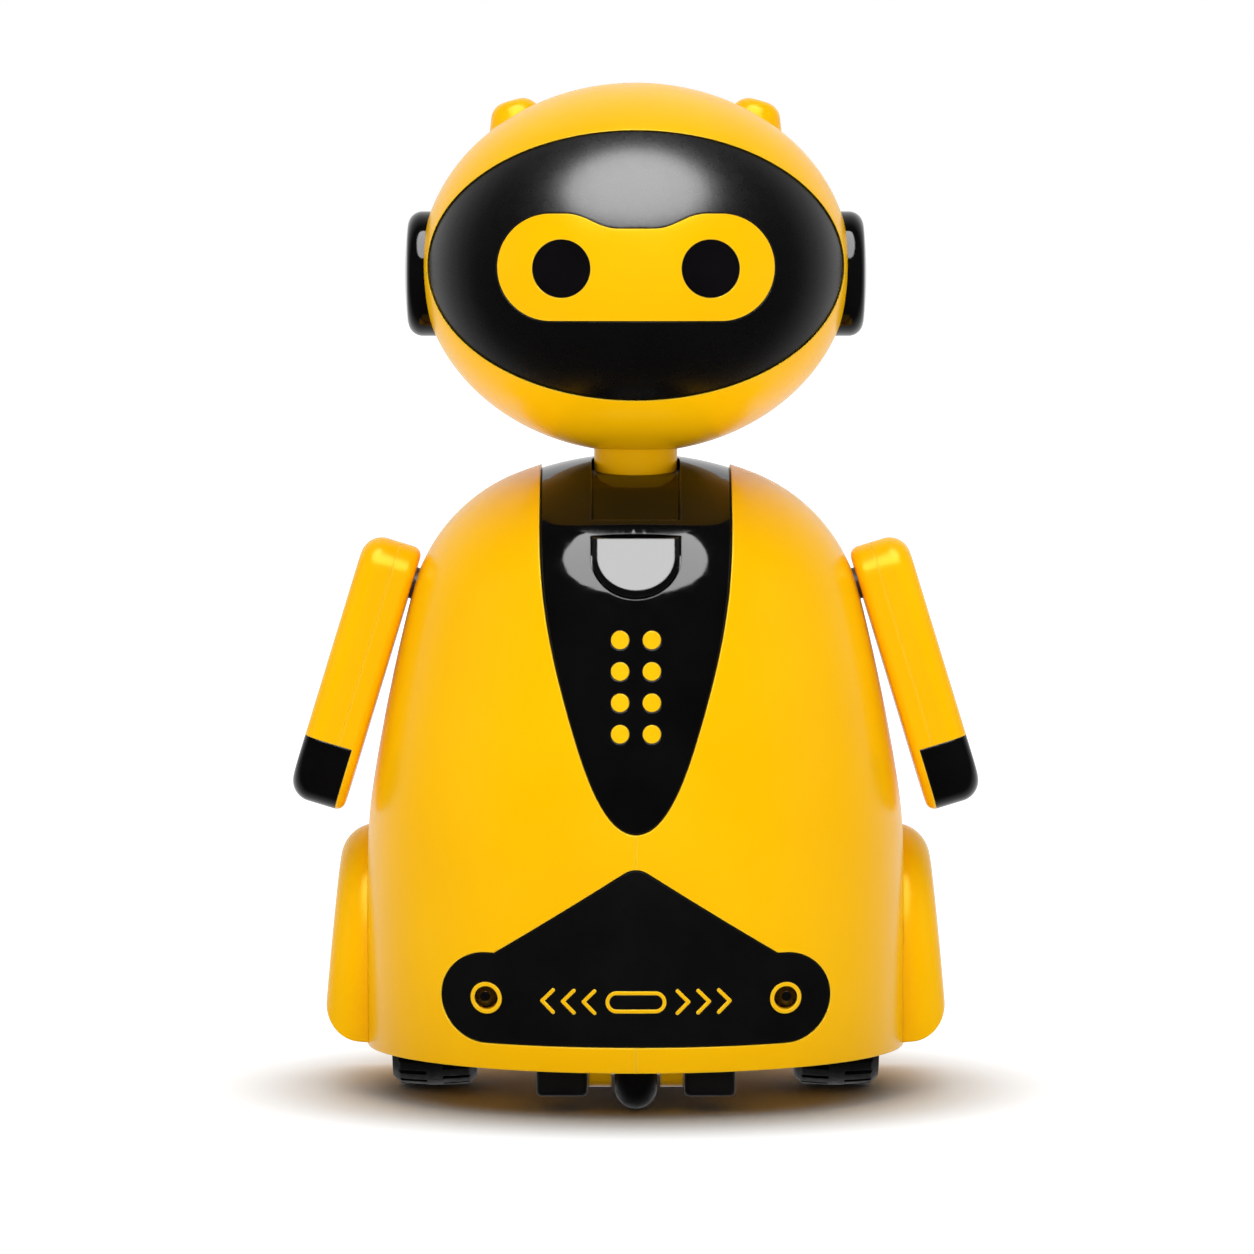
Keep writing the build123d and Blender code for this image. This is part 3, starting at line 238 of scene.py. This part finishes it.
def floor_disc():
    """A large pale disc, finer towards its middle."""
    mesh = bpy.data.meshes.new("studio_floor")
    turns = [radians(i * 360 / FLOOR_SIDES) for i in range(FLOOR_SIDES)]
    points = [(0.0, 0.0, 0.0)]
    for ring in FLOOR_RINGS:
        points += [(ring * cos(turn), ring * sin(turn), 0.0) for turn in turns]
    faces = [(0, 1 + i, 1 + (i + 1) % FLOOR_SIDES) for i in range(FLOOR_SIDES)]
    for ring in range(len(FLOOR_RINGS) - 1):
        inner = 1 + ring * FLOOR_SIDES
        outer = inner + FLOOR_SIDES
        for i in range(FLOOR_SIDES):
            after = (i + 1) % FLOOR_SIDES
            faces.append((inner + i, outer + i, outer + after, inner + after))
    mesh.from_pydata(points, [], faces)
    mesh.update()
    return mesh


def node_of(tree, kind):
    """The first node of a type in a node tree."""
    return next(node for node in tree.nodes if node.type == kind)


floor = bpy.data.objects.new("studio_floor", floor_disc())
bpy.context.scene.collection.objects.link(floor)
floor_finish = finish(
    "studio_floor", (0.90, 0.90, 0.90), (0.93, 0.93, 0.93), (0.55, 0.65),
    2 * MM, 0.01 * MM, 400 * MM, specular=0.2)
floor.data.materials.append(floor_finish)
floor.visible_glossy = False

# Away from the object the floor glows plain white, as a lit background does.
floor_tree = floor_finish.node_tree
floor_shader = node_of(floor_tree, "BSDF_PRINCIPLED")
floor_output = node_of(floor_tree, "OUTPUT_MATERIAL")
glow = floor_tree.nodes.new("ShaderNodeEmission")
glow.inputs["Strength"].default_value = FLOOR_GLOW
join = floor_tree.nodes.new("ShaderNodeMixShader")
where = floor_tree.nodes.new("ShaderNodeTexCoord")
radius = floor_tree.nodes.new("ShaderNodeVectorMath")
radius.operation = "LENGTH"
floor_tree.links.new(where.outputs["Object"], radius.inputs[0])
share = spread(floor_tree, radius.outputs["Value"], 0.0, 1.0,
               GLOW_STARTS, GLOW_FULL, "SMOOTHSTEP")
floor_tree.links.new(share, join.inputs["Fac"])
floor_tree.links.new(floor_shader.outputs["BSDF"], join.inputs[1])
floor_tree.links.new(glow.outputs["Emission"], join.inputs[2])
floor_tree.links.new(join.outputs["Shader"], floor_output.inputs["Surface"])

# ---- Light ------------------------------------------------------------------

MIDDLE = Vector((0.0, 0.0, 0.075))     # what the lights face, in the robot's middle


def softbox(name, azimuth, elevation, distance, size, power, glossy=False, depth=None):
    """A soft light that faces the object; azimuth 0 is in front, and +90 on its left.

    It is a disc, size metres across, or an ellipse where it has a depth. Only a
    glossy one shows in reflections.
    """
    light = bpy.data.lights.new(name, "AREA")
    light.shape = "ELLIPSE" if depth else "DISK"
    light.size = size
    if depth:
        light.size_y = depth
    light.energy = power
    lamp = bpy.data.objects.new(name, light)
    bpy.context.scene.collection.objects.link(lamp)
    a, e = radians(azimuth), radians(elevation)
    direction = Vector((cos(e) * sin(a), -cos(e) * cos(a), sin(e)))
    lamp.location = MIDDLE + distance * direction
    lamp.rotation_euler = (MIDDLE - lamp.location).to_track_quat("-Z", "Y").to_euler()
    lamp.visible_glossy = glossy
    lamp.visible_camera = False
    return lamp


# The four in the loop light the robot and not the floor, so they cast no shadow on it.
robot = bpy.data.collections.new("robot")
for node in nodes.values():
    robot.objects.link(node)

for lamp in (
    softbox("key_octabox", 0, 62, 1.1, 0.85, 9.0),
    softbox("front_fill", 0, 4, 1.6, 1.6, 9.5),
    softbox("left_fill", 80, 15, 1.3, 0.9, 2.8),
    softbox("right_fill", -80, 15, 1.3, 0.9, 2.8),
):
    lamp.light_linking.receiver_collection = robot

softbox("back_fill", 180, 50, 1.5, 1.2, 7.0)
sheen = softbox("octabox_sheen", 0, 58, 1.1, 1.35, 60.0, glossy=True, depth=1.15)
sheen.visible_diffuse = False

# The room is brighter behind the object than in front of it, so that the gloss
# black stays black; the camera itself sees plain white.
WHITE = (1.0, 1.0, 1.0, 1.0)
ROOM_FRONT, ROOM_BACK = 0.03, 0.85     # strengths
RAMP_STARTS, RAMP_ENDS = 0.15, 0.8     # along Y, of a direction in the world

world = bpy.data.worlds.new("studio")
bpy.context.scene.world = world
world.use_nodes = True
sky_tree = world.node_tree
sky_tree.nodes.clear()
sky = sky_tree.nodes.new("ShaderNodeOutputWorld")
room = sky_tree.nodes.new("ShaderNodeBackground")
plain = sky_tree.nodes.new("ShaderNodeBackground")
choose = sky_tree.nodes.new("ShaderNodeMixShader")
path = sky_tree.nodes.new("ShaderNodeLightPath")
way = sky_tree.nodes.new("ShaderNodeTexCoord")
split = sky_tree.nodes.new("ShaderNodeSeparateXYZ")
sky_tree.links.new(way.outputs["Generated"], split.inputs["Vector"])
strength = spread(sky_tree, split.outputs["Y"], ROOM_FRONT, ROOM_BACK,
                  RAMP_STARTS, RAMP_ENDS)
sky_tree.links.new(strength, room.inputs["Strength"])
room.inputs["Color"].default_value = WHITE
plain.inputs["Color"].default_value = WHITE
sky_tree.links.new(path.outputs["Is Camera Ray"], choose.inputs["Fac"])
sky_tree.links.new(room.outputs["Background"], choose.inputs[1])
sky_tree.links.new(plain.outputs["Background"], choose.inputs[2])
sky_tree.links.new(choose.outputs["Shader"], sky.inputs["Surface"])

# ---- Camera -----------------------------------------------------------------

CAMERA_X = -0.0013                     # the photo stands a little off the middle
CAMERA_DISTANCE, CAMERA_HEIGHT, AIM_HEIGHT = 1.0, 0.1229, 0.069    # metres
SENSOR_WIDTH, FOCAL_LENGTH = 36.0, 191.4                           # millimetres
FAR_CLIP = 50.0

view = bpy.data.cameras.new("front_camera")
view.sensor_width = SENSOR_WIDTH
view.lens = FOCAL_LENGTH
view.clip_end = FAR_CLIP
camera = bpy.data.objects.new("front_camera", view)
bpy.context.scene.collection.objects.link(camera)
camera.location = (CAMERA_X, -CAMERA_DISTANCE, CAMERA_HEIGHT)
aim = Vector((CAMERA_X, 0.0, AIM_HEIGHT))
camera.rotation_euler = (aim - camera.location).to_track_quat("-Z", "Y").to_euler()
bpy.context.scene.camera = camera
bpy.context.scene.view_settings.view_transform = "Standard"
